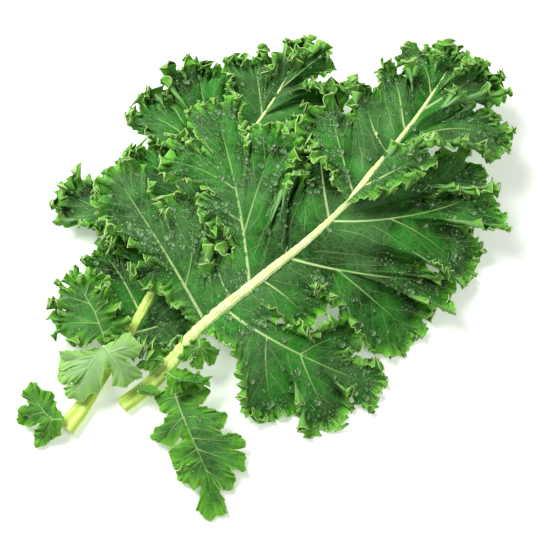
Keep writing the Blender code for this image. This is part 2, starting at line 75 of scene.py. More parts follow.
def new_material(name):
    """A material whose tree holds only its output, with that tree and that output."""
    material = bpy.data.materials.new(name)
    material.use_nodes = True
    tree = material.node_tree
    tree.nodes.clear()
    return material, tree, tree.nodes.new("ShaderNodeOutputMaterial")


def add_piece(name, points, faces, materials):
    """A mesh object from an array of points in metres and a list of faces, smooth all over."""
    mesh = bpy.data.meshes.new(name)
    mesh.from_pydata(points.tolist(), [], faces)
    mesh.polygons.foreach_set("use_smooth", np.ones(len(faces), bool))
    for material in materials:
        mesh.materials.append(material)
    piece = bpy.data.objects.new(name, mesh)
    bpy.context.scene.collection.objects.link(piece)
    return piece


# White acrylic sheet: matt, almost pure white, and lit a little from below.
sheet_white, tree, output = new_material("white_acrylic_sheet")
shader = add_node(tree, "ShaderNodeBsdfPrincipled", in_Base_Color=linear("#FAFBF9"), in_Roughness=0.6,
                  in_Emission_Color=linear("#F6FFF0"), in_Emission_Strength=0.3)
tree.links.new(shader.outputs[0], output.inputs[0])
HALF_TABLE = 3.0
corners = HALF_TABLE * np.array([(-1, -1, 0), (1, -1, 0), (1, 1, 0), (-1, 1, 0)])
table = add_piece("table", corners, [(0, 1, 2, 3)], [sheet_white])

world = bpy.data.worlds.new("studio")
world.use_nodes = True
world.node_tree.nodes["Background"].inputs["Color"].default_value = linear("#FFFFFF")
world.node_tree.nodes["Background"].inputs["Strength"].default_value = 0.28
bpy.context.scene.world = world
bpy.context.scene.view_settings.view_transform = "Standard"


def add_softbox(name, place, size, watts):
    """A square area light at a place, turned to face the middle of the table."""
    light = bpy.data.lights.new(name, "AREA")
    light.size = size
    light.energy = watts
    lamp = bpy.data.objects.new(name, light)
    lamp.location = place
    x, y, z = place
    lamp.rotation_euler = (math.atan2(math.hypot(x, y), z), 0, math.atan2(x, -y))
    bpy.context.scene.collection.objects.link(lamp)


add_softbox("softbox_back_left", (-0.6, 0.45, 0.85), 0.7, 19.0)
add_softbox("softbox_front_right", (0.8, -0.4, 0.9), 0.7, 4.5)

# The camera looks down at the bunch from in front, 66 degrees above the table.
LOOK_AT = (-0.00137, -0.00047, 0.0)
LOOK_DOWN = math.radians(66)
DISTANCE = 0.668
camera = bpy.data.objects.new("camera", bpy.data.cameras.new("camera"))
camera.data.lens, camera.data.sensor_width = 70, 36
camera.data.clip_start = 0.01
camera.location = (LOOK_AT[0], LOOK_AT[1] - DISTANCE * math.cos(LOOK_DOWN), DISTANCE * math.sin(LOOK_DOWN))
camera.rotation_euler = (math.pi / 2 - LOOK_DOWN, 0, 0)
bpy.context.scene.collection.objects.link(camera)
bpy.context.scene.camera = camera


# ---- The stalks ------------------------------------------------------------------------------
# Each leaf has a fleshy pale stalk that runs on up the leaf as its midrib. It is deepest below,
# has a shallow groove on top near the cut, and ends in a clean knife cut.
MM = 0.001
MIDDLE = (1.37, 0.47)  # middle of the bunch in the tables' own coordinates
STATION = 7.0  # spacing of points along a rib
STALK_END = 0.97  # share of a leaf's length at which its stalk ends inside the blade

TOP_STALK = [(-90, -86, 4.3), (-80, -78, 4.2), (-66, -66, 8), (-43, -41, 18), (-12, -19, 31), (20, 7, 36),
             (42, 30, 35), (64, 56, 31), (79, 82, 26)]
TOP_HALF_WIDTHS = [(0.0, 4.7), (0.15, 4.5), (0.27, 3.5), (0.45, 3.1), (0.6, 2.3), (0.75, 1.8), (1.0, 0.8)]
LOWER_STALK = [(-122, -100, 5.1), (-114, -88, 4.5), (-106, -74, 6), (-94, -54, 9), (-80, -28, 10),
               (-66, 3, 11), (-47, 42, 12), (-22, 84, 14), (-2, 113, 22), (14, 136, 34)]
LOWER_HALF_WIDTHS = [(0.0, 5.6), (0.06, 4.8), (0.14, 3.9), (0.35, 3.0), (0.55, 2.2), (0.8, 1.3),
                     (1.0, 0.7)]
UPPER_STALK = [(43, 29, 43), (55, 43, 45), (70, 63, 44), (91, 94, 40), (113, 133, 32)]
UPPER_HALF_WIDTHS = [(0.0, 0.5), (0.08, 1.6), (0.16, 2.1), (0.3, 1.8), (0.6, 1.2), (1.0, 0.5)]


def lengths_along(line):
    """The distance of each point of a line from its start."""
    return np.concatenate([[0.0], np.cumsum(np.linalg.norm(np.diff(line, axis=0), axis=1))])


def point_at(line, distance, along=None):
    """The points of a line at some distances from its start, or its values where along is given."""
    along = lengths_along(line) if along is None else along
    return np.stack([np.interp(distance, along, column) for column in line.T], axis=1)


def even_line(line, count):
    """The same line as count + 1 evenly spaced points."""
    return point_at(line, np.linspace(0, lengths_along(line)[-1], count + 1))


def unit(v):
    """Vectors divided by their lengths."""
    return v / np.maximum(np.linalg.norm(v, axis=-1, keepdims=True), 1e-9)


def smoothed(values, spread_over):
    """A running average over an odd number of neighbours, with the ends held."""
    half = spread_over // 2
    padded = np.pad(values, ((half, half), (0, 0)), mode="edge")
    window = np.ones(spread_over) / spread_over
    return np.stack([np.convolve(column, window, "valid") for column in padded.T], axis=1)


def smooth_line(points, spacing):
    """A Catmull-Rom curve: between b and c it leaves b along c - a and meets c along d - b."""
    p = np.array(points, float)
    longer = np.vstack([2 * p[0] - p[1], p, 2 * p[-1] - p[-2]])
    a, b, c, d = (longer[i : i + len(p) - 1, None] for i in range(4))
    t = np.linspace(0, 1, 16, endpoint=False)[None, :, None]
    curve = b + 0.5 * t * (c - a + t * (2 * a - 5 * b + 4 * c - d + t * (3 * b - a - 3 * c + d)))
    dense = np.vstack([curve.reshape(-1, 3), p[-1:]])
    return even_line(dense, max(3, round(lengths_along(dense)[-1] / spacing)))


def bumps(points, lengths, seed):
    """Smooth uneven values of about -1 to 1 at points: a mean of sines of these wave lengths, each
    along a direction of its own."""
    rng = np.random.default_rng(seed)
    total = 0
    for length in lengths:
        way = unit(rng.normal(size=3))
        total = total + np.sin(points @ way * 2 * math.pi / length + rng.uniform(0, 6.3))
    return total / len(lengths)


def add_layer(piece, label, values):
    """Gives each point of a piece a value that its material can read."""
    layer = piece.data.attributes.new(label, "FLOAT", "POINT")
    layer.data.foreach_set("value", np.asarray(values, np.float32))


def add_stalk(name, line, table, last_share, paleness, materials):
    """A stalk as cross-sections carried along its line, one every 0.9 mm. A section is an oval,
    flatter on top, where it has a groove near the cut, and nine low ridges run along it. Uneven
    bumps push its surface out and in, least at the cut and where it is slender. The ends are closed
    by rings that shrink to their middle. paleness is how far the skin's colour has turned from that
    of a cut end, at the start and at the end."""
    count = round(lengths_along(line)[-1] / 0.9)
    sides = 48
    rings = even_line(line, count)
    share = np.linspace(0, 1, count + 1) * last_share
    widths = np.interp(share, [row[0] for row in table], [row[1] for row in table])
    heading = unit(smoothed(unit(np.gradient(rings, axis=0)), 15))
    side = unit(np.cross((0, 0, 1), heading))
    up = np.cross(heading, side)
    angle = 2 * math.pi * (np.arange(sides) + 0.5) / sides
    across, rise = np.cos(angle), np.sin(angle)
    groove = 0.24 * np.clip(1 - 3 * share, 0, 1)[:, None]
    top = 0.62 * rise - groove * np.exp(-((across / 0.33) ** 2))
    under = np.maximum(0.97 * rise, -0.93) * np.ones_like(groove)
    ridges = 1 + 0.045 * np.sin(9 * angle + 1.2 * np.sin(share * 9)[:, None])
    profile = widths[:, None] * ridges
    ring = (rings[:, None] - (profile * across)[..., None] * side[:, None]
            + (profile * np.where(rise > 0, top, under))[..., None] * up[:, None])
    # Humps of some 9 mm, with warts of some 3 mm on them.
    skin = ring.reshape(-1, 3)
    uneven = 0.25 * bumps(skin, (5, 8, 13), 3) + 0.34 * bumps(skin, (3.2, 4.4, 2.6, 6), 7)
    smooth_cut = np.clip(share * 5, 0.35, 1)[:, None]
    slender = np.clip(widths / 2.5, 0, 1)[:, None]
    ring += (uneven.reshape(ring.shape[:2]) * smooth_cut * slender)[..., None] * unit(ring - rings[:, None])

    # Each end bulges by 0.3 mm and has a narrow rounded rim.
    shrink = np.array((0.93, 0.6, 0.2))[:, None, None]
    middle = ring[[0, -1]].mean(1)
    start = middle[0] + shrink * (ring[0] - middle[0])
    start[0] -= 0.25 * heading[0]
    start[1:] -= 0.3 * heading[0]
    finish = middle[1] + shrink * (ring[-1] - middle[1])
    grid = np.concatenate([start[::-1], ring, finish])
    rows, cols = grid.shape[:2]
    points = np.vstack([grid.reshape(-1, 3), middle])
    points[:, 2] = np.maximum(points[:, 2], 0.02)
    points[:, :2] -= MIDDLE

    # The faces: quads between the rings, and a fan at each pole. The first end's are the cut face.
    k = np.arange(cols)
    n = (k + 1) % cols
    r = np.arange(rows - 1)[:, None] * cols
    quads = np.stack([r + k, r + n, r + cols + n, r + cols + k], -1).reshape(-1, 4)
    poles = rows * cols
    fan_start = np.stack([np.full(cols, poles), n, k], -1)
    fan_end = np.stack([np.full(cols, poles + 1), poles - cols + k, poles - cols + n], -1)
    piece = add_piece(name, points * MM, quads.tolist() + fan_start.tolist() + fan_end.tolist(), materials)
    mesh = piece.data
    cut = np.zeros(len(mesh.polygons), int)
    cut[: 3 * cols] = 1
    cut[len(quads) : len(quads) + cols] = 1
    mesh.polygons.foreach_set("material_index", cut)
    turned = np.interp(np.concatenate([np.zeros(3), share, np.full(3, last_share)]), (0, 1), paleness)
    furrow = np.tile(0.5 + 0.5 * np.sin(9 * angle + 0.6) * np.sin(4 * angle + 2), rows)
    add_layer(piece, "up_leaf", np.append(np.repeat(turned, cols), turned[[0, -1]]))
    add_layer(piece, "furrow", np.append(furrow, (0, 0)))
    made = bmesh.new()
    made.from_mesh(mesh)
    bmesh.ops.recalc_face_normals(made, faces=made.faces)
    made.to_mesh(mesh)
    made.free()
    return piece


# Stalk skin: crisp, moist plant tissue under a thin cuticle. It is pale yellow-green, with uneven
# patches of some 36 mm, streaks of 6 mm and whitish warts of 1.5 mm, partly painted highlight on
# their raised tops, a soft shine, and light glowing a little inside it.
stalk_skin, tree, output = new_material("kale_stalk_skin")
place = add_node(tree, "ShaderNodeTexCoord").outputs["Object"]
patches = add_node(tree, "ShaderNodeTexNoise", in_Vector=place, in_Scale=28, in_Detail=2.0).outputs[0]
streaks = add_node(tree, "ShaderNodeTexNoise", in_Vector=place, in_Scale=160, in_Detail=4.0).outputs[0]
grain = add_node(tree, "ShaderNodeTexNoise", in_Vector=place, in_Scale=650, in_Detail=2.0).outputs[0]
up_leaf = add_node(tree, "ShaderNodeAttribute", attribute_name="up_leaf").outputs["Fac"]
furrow = add_node(tree, "ShaderNodeAttribute", attribute_name="furrow").outputs["Fac"]
turned = add_node(tree, "ShaderNodeMapRange", in_Value=up_leaf, in_1=0.05, in_2=0.3).outputs[0]
dips = add_node(tree, "ShaderNodeMapRange", in_Value=turned, in_3=furrow, in_4=0.0).outputs[0]
patchy = add_node(tree, "ShaderNodeMath", operation="MULTIPLY", in_0=patches, in_1=turned).outputs[0]
# Whitish specks on the raised tops of the fine grain: warts, and partly painted highlight.
wart_highlight_specks = add_node(tree, "ShaderNodeMapRange", in_Value=grain, in_1=0.5, in_2=0.66, in_4=0.7).outputs[0]
warts_and_highlights = add_node(tree, "ShaderNodeMath", operation="MULTIPLY", in_0=wart_highlight_specks, in_1=turned).outputs[0]
skin = linear("#DCF65E")
for share, colour in ((turned, "#E2F2AC"), (dips, "#A6D23E"), (patchy, "#EFF8C0"), (streaks, "#C6E86C"),
                      (warts_and_highlights, "#FBFFE6")):
    skin = add_node(tree, "ShaderNodeMix", data_type="RGBA", in_Factor=share, in_A=skin,
                    in_B=linear(colour)).outputs["Result"]
relief = add_node(tree, "ShaderNodeBump", in_Height=grain, in_Strength=0.5, in_Distance=0.0008)
shader = add_node(tree, "ShaderNodeBsdfPrincipled", in_Base_Color=skin, in_Normal=relief.outputs[0],
                  in_Roughness=0.36, in_IOR=1.42, in_Subsurface_Weight=0.25, in_Subsurface_Scale=0.002,
                  in_Subsurface_Radius=(1.0, 1.0, 0.4))
tree.links.new(shader.outputs[0], output.inputs[0])

# Cut stalk: the wet pith that a knife has laid open, pale, with the fine pores of its vessels, drawn
# 0.7 mm apart, which is coarser than they are, so that they show.
stalk_cut, tree, output = new_material("kale_stalk_cut_face")
place = add_node(tree, "ShaderNodeTexCoord").outputs["Object"]
pores = add_node(tree, "ShaderNodeTexVoronoi", in_Vector=place, in_Scale=1400).outputs["Distance"]
pith = add_node(tree, "ShaderNodeMix", data_type="RGBA", in_Factor=pores, in_A=linear("#E4EDB0"),
                in_B=linear("#B9CF7C")).outputs["Result"]
shader = add_node(tree, "ShaderNodeBsdfPrincipled", in_Base_Color=pith, in_Roughness=0.3, in_IOR=1.4)
tree.links.new(shader.outputs[0], output.inputs[0])

for name, points, table, paleness in (("lower_leaf_stalk", LOWER_STALK, LOWER_HALF_WIDTHS, (0, 0.3)),
                                      ("top_leaf_stalk", TOP_STALK, TOP_HALF_WIDTHS, (0, 1)),
                                      ("upper_leaf_stalk", UPPER_STALK, UPPER_HALF_WIDTHS, (0.35, 1))):
    line = even_line(smooth_line(points, STATION), 400)[: round(400 * STALK_END) + 1]
    piece = add_stalk(name + "_skin", line, table, STALK_END, paleness, [stalk_skin, stalk_cut])
    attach(piece, "root")
    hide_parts(name)


# ---- The leaf blades -------------------------------------------------------------------------
# A blade is a thin waxy sheet carried by its midrib on branching side ribs, with a lobe round each
# rib. It grows faster at its margin than inside, so the margin is thrown into ruffles on ruffles.
RIB_THICK = (2.4, 1.7, 1.2)  # blade with its rib, at the midrib, on a side rib and on its branches
BLADE_THICK = 0.45  # blade between its ribs
COLUMN = 0.68  # spacing of fibres along the margin
TIP_REACH = 0.16  # share of a lobe that lies beyond the end of its rib
LONGEST_REACH = 17.0  # most that a lobe's tip lies beyond the end of its rib
BASE_WING = 6.0  # distance from the blade's start to the foot of its margin there
ARCH = 14.0  # degrees that a fibre rises at the rib and drops at the margin
OPEN_CUT = 26.0  # distance between two ribs at which the margins there are fully ruffled
HALF_CUT = 0.40  # how far a lobe may reach across the cut beside it, as a share of its width
# Each set of ruffles: wave length, height and depth of the ruffled band, and the sideways swing as a
# share of the height. The first set has no band, since it runs across the whole outer blade.
RUFFLES = [(19.0, 4.2, 0.0, 0.35), (6.3, 3.1, 11.0, 0.55), (3.1, 1.0, 5.0, 0.5)]
ROLL = (48.0, 75.0, 17.0, 10.0)  # the margin's roll: mean and swing in degrees, wave length, band
SPREAD = 27.0  # length of margin over which the blade's own face is evened out
EVENED = 11  # points of margin over which its folds are rounded
PUFF = 0.9  # how far the blade is puffed up between its veins
LOW = 0.9  # least height of the blade's upper face above the table
TALL, SQUEEZE = 43.0, 12.0  # height above which frills are pressed down, and most they stand above it
TEETH = [(13.0, 2.4), (4.6, 0.9)]  # length and depth of the teeth of the margin

# A rib is: name, parent, share of the parent's length where it starts, heading, length, bend,
# arch (rise of its middle), height of its end, half width of its lobe, curl of the margin,
# share of it that is joined to its neighbours, and tilt of the lobe (its clockwise side up).
TOP_RIBS = [
    ("skirt", "mid", 0.33, -25, 104, 30, 8, 6, 30, -10, 0.70, 6),
    ("skirt_low", "skirt", 0.33, -85, 45, 25, 4, 3, 26, 0, 0.82, 8),
    ("skirt_drop", "skirt", 0.60, -62, 44, 20, 4, 2, 26, 0, 0.82, 8),
    ("skirt_up", "skirt", 0.60, 28, 41, -20, 2, 12, 20, 10, 0.75, -6),
    ("pocket", "mid", 0.47, -36, 38, -5, 3, 20, 18, 10, 0.55, 10),
    ("wide", "mid", 0.54, -3, 100, 30, 6, 14, 30, 10, 0.78, 14),
    ("wide_low", "wide", 0.36, -32, 60, 10, 4, 5, 30, 0, 0.82, 12),
    ("fan", "mid", 0.69, 15, 106, 35, 4, 22, 34, 10, 0.82, 16),
    ("fan_low", "fan", 0.42, -25, 59, -15, 4, 9, 30, 0, 0.82, 12),
    ("cup", "mid", 0.85, 8, 73, 35, 0, 16, 26, 0, 0.82, 4),
    ("tip_left", "mid", 0.94, 104, 38, -5, 3, 18, 22, 0, 0.75, -8),
    ("plume", "mid", 0.68, 94, 83, -10, 4, 31, 26, 0, 0.85, -8),
    ("flag", "mid", 0.54, 81, 54, -50, 2, 32, 22, 10, 0.92, -8),
    ("tower", "mid", 0.44, 101, 121, 10, 6, 48, 30, 0, 0.60, -6),
    ("tower_right", "tower", 0.29, 73, 75, 0, 3, 46, 24, 0, 0.80, 4),
    ("tower_left", "tower", 0.35, 160, 29, 45, 3, 44, 20, 0, 0.75, 0),
    ("tower_high", "tower", 0.55, 153, 50, 15, 3, 46, 24, 0, 0.80, 0),
    ("gap", "mid", 0.37, 98, 38, -75, 2, 24, 16, 10, 0.60, 6),
    ("apron", "mid", 0.28, 122, 113, 0, 8, 34, 28, 10, 0.65, -6),
    ("apron_right", "apron", 0.23, 90, 61, 40, 4, 34, 26, 0, 0.80, 0),
    ("apron_left", "apron", 0.30, -179, 29, 110, 2, 25, 18, 0, 0.75, 0),
]
UPPER_RIBS = [
    ("tongue", "mid", 0.11, 31, 50, 20, 4, 43, 11, -10, 0.50, 0),
    ("cup_far", "mid", 0.36, 20, 88, -45, 6, 26, 26, 20, 0.75, 12),
    ("shoulder", "mid", 0.64, 44, 65, 15, 4, 20, 24, 20, 0.80, 10),
    ("crown_left", "mid", 0.77, 104, 42, 30, 4, 32, 20, 20, 0.75, -8),
    ("crest", "mid", 0.48, 94, 52, -5, 5, 34, 22, 20, 0.80, -10),
    ("brow", "mid", 0.32, 101, 55, -45, 6, 34, 22, 20, 0.82, -12),
    ("back", "mid", 0.08, 101, 69, -10, 5, 40, 26, 20, 0.80, -14),
]
LOWER_RIBS = [
    ("low_right", "mid", 0.24, 22, 40, 20, 3, 4, 20, 0, 0.60, 4),
    ("under_right", "mid", 0.37, 17, 57, -10, 2, 6, 24, 0, 0.75, 8),
    ("mid_right", "mid", 0.53, 7, 64, -15, 2, 7, 26, 0, 0.80, 8),
    ("upper_right", "mid", 0.70, 13, 61, 25, 3, 10, 26, 0, 0.80, 8),
    ("scroll", "mid", 0.85, 16, 60, -50, 2, 14, 24, 20, 0.75, 0),
    ("scroll_top", "mid", 0.93, 30, 38, 35, 5, 42, 22, 30, 0.75, 0),
    ("peak", "mid", 0.84, 99, 41, 5, 4, 26, 24, 10, 0.80, -8),
    ("crown", "mid", 0.70, 106, 75, -20, 5, 22, 28, 0, 0.80, -12),
    ("ear", "mid", 0.66, 132, 79, 45, 5, 14, 28, 0, 0.78, -10),
    ("wing", "mid", 0.58, 134, 60, 10, 3, 9, 26, 0, 0.78, -8),
    ("arm", "mid", 0.42, 143, 86, 15, 5, 13, 30, 0, 0.70, -10),
    ("arm_low", "mid", 0.31, 121, 52, 10, 4, 8, 26, 0, 0.70, -6),
]


class Rib:
    """A rib from base to end, with its lobe's measures and the ribs that branch off each side. The
    blade starts half_gap to either side of its line."""

    def __init__(self, line, rank, half_width, curl, join, tilt, half_gap=0.0):
        self.line, self.rank = line, rank
        self.half_width, self.curl, self.join, self.tilt = half_width, curl, join, tilt
        self.heading = unit(np.gradient(line, axis=0))
        self.side = unit(np.cross((0, 0, 1), self.heading))
        offset = self.side * np.broadcast_to(half_gap, len(line))[:, None]
        self.edge = {-1: line - offset, 1: line + offset}
        self.branches = {-1: [], 1: []}
        reach = min(LONGEST_REACH, lengths_along(line)[-1] * TIP_REACH / (1 - TIP_REACH))
        self.tip = line[-1] + self.heading[-1] * reach

    def away_from_base(self, side):
        """A short line that leaves the rib's base backwards and to one side."""
        start = self.edge[side][0]
        return start + np.outer((1.0, 30.0), unit(side * self.side[0] - self.heading[0]))


def arc_line(start, heading, length, bend, arch, end_height):
    """A rib's line: a circular arc seen from above, whose height goes from start to end with the
    arch added as half a sine wave."""
    count = max(2, round(length / STATION))
    t = np.linspace(0, 1, count + 1)
    fine = np.linspace(0, 1, 101)
    angle = np.radians(heading + bend * (fine[:-1] - 0.5))
    x = np.concatenate([[0], np.cumsum(np.cos(angle))]) * length / 100
    y = np.concatenate([[0], np.cumsum(np.sin(angle))]) * length / 100
    z = (end_height - start[2]) * t + arch * np.sin(math.pi * t)
    return start + np.stack([np.interp(t, fine, x), np.interp(t, fine, y), z], axis=1)


def grow_ribs(midrib, rows, first):
    """Puts the side ribs on a midrib whose own start is this share of the whole stalk, and
    returns all ribs."""
    ribs = {"mid": midrib}
    for name, parent, at, heading, length, bend, arch, height, width, curl, join, tilt in rows:
        on = ribs[parent]
        share = (at - first) / (1 - first) if parent == "mid" else at
        station = round(share * (len(on.line) - 1))
        leaving = math.radians(heading - bend / 2)
        leftward = on.heading[station][0] * math.sin(leaving) > on.heading[station][1] * math.cos(leaving)
        side = 1 if leftward else -1
        line = arc_line(on.edge[side][station], heading, length * (1 - TIP_REACH), bend, arch, height)
        ribs[name] = Rib(line, on.rank + 1, width, curl, join, tilt)
        on.branches[side].append((station, ribs[name]))
    return list(ribs.values())


def walk(rib):
    """The way round a rib and its branches, out along the right side and back along the left, as
    a list of (point, rank, the rib whose tip is passed there or None)."""
    steps = []
    last = len(rib.line) - 1
    for side, stations in ((-1, range(last + 1)), (1, range(last, -1, -1))):
        for i in stations:
            steps.append((rib.edge[side][i], rib.rank, None))
            for station, branch in rib.branches[side]:
                if station == i:
                    steps += walk(branch)
                    steps.append((rib.edge[side][i], rib.rank, None))
        if side < 0:
            steps.append((rib.line[-1], rib.rank, rib))
    return steps


def sectors(midrib):
    """The stretches of the walk between lobe tips, as (rib before, rib after, points, ranks)."""
    found = []
    before = None
    points, ranks = [], []
    for point, rank, passed in walk(midrib):
        if not points or np.linalg.norm(point - points[-1]) > 1e-6:
            points.append(point)
            ranks.append(rank)
        if passed:
            found.append((before, passed, np.array(points), np.array(ranks)))
            before, points, ranks = passed, [point], [rank]
    found.append((before, None, np.array(points), np.array(ranks)))
    return found


# The fibres are the rows of one array with these columns.
AT, ROOT, END, ACROSS, CURL, TILT, ROOM = 0, slice(1, 4), slice(4, 7), slice(7, 10), 10, 11, 12


def half_margin(own, other, half_width, sinus, overlap):
    """The margin of one side of a lobe, from its tip to the cut beside it, and the way across
    that cut. It keeps to half the lobe's width from its rib, rounded at the tip, as far as the
    cut beside it leaves room, and it meets the next lobe's margin halfway at the cut's foot."""
    reach = lengths_along(own)[-1]
    s = np.linspace(reach, sinus, 40)
    share = (s - sinus) / (reach - sinus)
    here = point_at(own, s)
    here += (smoothed(here, 9) - here) * np.sin(math.pi * share)[:, None]
    across = point_at(other, np.minimum(s, lengths_along(other)[-1])) - here
    ahead = unit(np.gradient(here, axis=0))
    sideways = unit(across - (across * ahead).sum(1, keepdims=True) * ahead)
    rounding = min(1.3 * half_width, 0.6 * (reach - sinus))
    shape = np.sqrt(np.clip(1 - (np.clip(s - reach + rounding, 0, None) / rounding) ** 2, 0, 1))
    room = np.linalg.norm(across, axis=1)
    half = np.minimum(half_width * shape, HALF_CUT * room + overlap * np.clip(room - 16, 0, None))[:, None]
    blend = np.clip(share / 0.3, 0, 1)[:, None]
    blend = blend * blend * (3 - 2 * blend)
    return here + (1 - blend) * across / 2 + blend * sideways * half, across


def half_sector(points, tip_at, middle_at, lines, rib, curl_there, sinus, overlap, turn):
    """The fibres of one side of a lobe, from its tip to the cut beside it. turn is 1 where the
    walk goes that way and -1 where it comes back."""
    margin, across = half_margin(lines[0], lines[1], rib.half_width, sinus, overlap)
    along = lengths_along(margin)
    count = max(6, 2 * round(along[-1] / COLUMN / 2))
    share = np.linspace(0, 1, count + 1)
    fibres = np.empty((count + 1, 13))
    fibres[:, AT] = tip_at + (middle_at - tip_at) * share
    fibres[:, ROOT] = point_at(points, fibres[:, AT])
    fibres[:, END] = even_line(margin, count)
    way = point_at(across, share * along[-1], along)
    fibres[:, ACROSS] = turn * way
    fibres[:, CURL] = rib.curl + (curl_there - rib.curl) * share / 2
    fibres[:, TILT] = -turn * rib.tilt * np.sqrt(np.sin(math.pi * share).clip(0))
    fibres[:, ROOM] = np.linalg.norm(way, axis=1)
    return fibres


def middle_of(points, ranks, before, after):
    """How far along a sector's points the deepest place between its two lobes is."""
    along = lengths_along(points)
    run = np.flatnonzero(ranks == ranks.min())
    if before is None:
        return 0.0
    if after is None:
        return along[-1]
    if run[0] == 0:
        return along[run[-1]]
    if run[-1] == len(ranks) - 1:
        return along[run[0]]
    return (along[run[0]] + along[run[-1]]) / 2


def sector_fibres(before, after, points, ranks, midrib):
    """The fibres of one sector, in the order of the walk."""
    along = lengths_along(points)
    middle_at = middle_of(points, ranks, before, after)
    middle = point_at(points, [middle_at])
    if before is None:
        line_before = np.vstack([middle, midrib.away_from_base(-1)])
    else:
        line_before = np.vstack([middle, points[along < middle_at - 1e-6][::-1], before.tip[None]])
    if after is None:
        line_after = np.vstack([middle, midrib.away_from_base(1)])
    else:
        line_after = np.vstack([middle, points[along > middle_at + 1e-6], after.tip[None]])
    lines = line_before, line_after
    if before is None or after is None:
        sinus, overlap = BASE_WING, 0.0
    else:
        sinus = min(lengths_along(line)[-1] for line in lines) * (before.join + after.join) / 2
        overlap = 0.25 * min(1.0, abs(before.tilt + after.tilt) / 28)
    halves = []
    if before is not None:
        curl = after.curl if after is not None else before.curl
        halves.append(half_sector(points, 0.0, middle_at, lines, before, curl, sinus, overlap, 1))
    if after is not None:
        curl = before.curl if before is not None else after.curl
        half = half_sector(points, along[-1], middle_at, lines[::-1], after, curl, sinus, overlap, -1)
        halves.append(half[::-1] if before is None else half[-2::-1])
    return np.vstack(halves)


def whole_walk(midrib):
    """The points of the walk, their ranks and distances, and all fibres, each once."""
    points, ranks, fibres = [], [], []
    start = 0.0
    for before, after, some, their_ranks in sectors(midrib):
        part = sector_fibres(before, after, some, their_ranks, midrib)
        part[:, AT] += start
        start += lengths_along(some)[-1]
        last = after is None
        points.append(some if last else some[:-1])
        ranks.append(their_ranks if last else their_ranks[:-1])
        fibres.append(part if last else part[:-1])
    points = np.vstack(points)
    return points, np.concatenate(ranks), lengths_along(points), np.vstack(fibres)


def wobble(a, length, phase):
    """The running phase of an uneven wave of about this length, at distances a."""
    turn = 2 * math.pi * a / length
    return turn + 1.4 * np.sin(turn / 3.7 + phase) + 0.8 * np.sin(turn / 2.3 + 2.1 * phase)


def grid_normals(grid):
    """Unit normals of a grid of points: across the rows' way and the columns' way."""
    return unit(np.cross(np.gradient(grid, axis=0), np.gradient(grid, axis=1)))


def fibre_grid(fibres, shares, phase, frill, teeth):
    """The points of every fibre at some shares of its length, one row of the grid for each share.
    A fibre bends as it goes, up at the rib and down at the margin, tilted and curled with its lobe,
    and ends longer or shorter by the margin's teeth. Each set of ruffles then moves the points along
    the normal of the set before it, as a sine of the distance along the margin, and sideways as a
    sine of twice that, more the nearer they are to it. frill and teeth scale the ruffles and the
    teeth."""
    outward = unit(fibres[:, END] - fibres[:, ROOT])
    reach = np.linalg.norm(fibres[:, END] - fibres[:, ROOT], axis=1)
    spread = 2 * round(SPREAD / COLUMN / 2) + 1
    up = unit(smoothed(unit(np.cross(outward, unit(fibres[:, ACROSS]))), spread))
    up = unit(up - (up * outward).sum(1, keepdims=True) * outward)
    along = np.cross(up, outward)
    room = np.minimum(1, fibres[:, ROOM] / OPEN_CUT)
    free = 0.06 * fibres[:, ROOM]
    margin = lengths_along(fibres[:, END])
    longer = 0.6 * frill * np.minimum(1, reach / 18)
    for k, (length, depth) in enumerate(TEETH):
        depth = teeth * (np.minimum(depth, free) if k == 0 else depth)
        longer += depth * (1.27 - 2.0 * np.abs(np.sin(wobble(margin, length, phase + 2 + k) / 2)))
    reach = reach + np.clip(longer, -0.3 * reach, None)
    v = shares[:, None]
    middle = (v[1:] + v[:-1]) / 2
    bend = ARCH * (1 - 2 * middle) + fibres[:, TILT] + fibres[:, CURL] * np.clip(middle - 0.35, 0, None) / 0.5
    mean, swing, length, band = ROLL
    roll = frill * (mean + swing * np.sin(wobble(margin, length, phase + 5)))
    roll = roll * room * np.minimum(1, reach / 18)
    bend = bend + roll * np.clip(1 - reach * (1 - middle) / band, 0, 1)
    bend = np.radians(bend)[..., None]
    steps = (np.diff(v, axis=0) * reach)[..., None] * (np.cos(bend) * outward + np.sin(bend) * up)
    grid = fibres[:, ROOT] + np.concatenate([np.zeros((1, *steps.shape[1:])), np.cumsum(steps, axis=0)])
    evened = np.stack([smoothed(row, EVENED) for row in grid])
    grid = grid + np.clip(v / 0.35, 0, 1)[..., None] * (evened - grid)
    inward = reach * (1 - v)
    for k, (length, height, band, swing) in enumerate(RUFFLES):
        wave = wobble(margin, length, phase + k)
        height, band = height * frill, band * max(1.0, frill)
        if k == 0:
            tall = height * (0.75 + 0.35 * np.sin(margin / 31 + phase)) * room * np.minimum(1, reach / 16)
            ramp = np.clip((v - 0.3) / 0.7, 0, None) ** 1.3
            lift, sideways = up, np.minimum(swing * tall, free)
        else:
            tall = height * (0.8 + 0.45 * np.sin(margin / (2.3 * length) + phase))
            tall = tall * np.minimum(1, reach / band)
            ramp = np.clip(1 - inward / band, 0, 1) ** 1.2 * np.minimum(1, v / 0.3)
            lift, sideways = grid_normals(grid), swing * tall
            lift = lift * np.sign((lift * up).sum(-1, keepdims=True))
        grid = (grid + (ramp * tall * np.sin(wave))[..., None] * lift
                + (ramp * sideways * np.sin(2 * wave))[..., None] * along)
    return grid, inward, margin


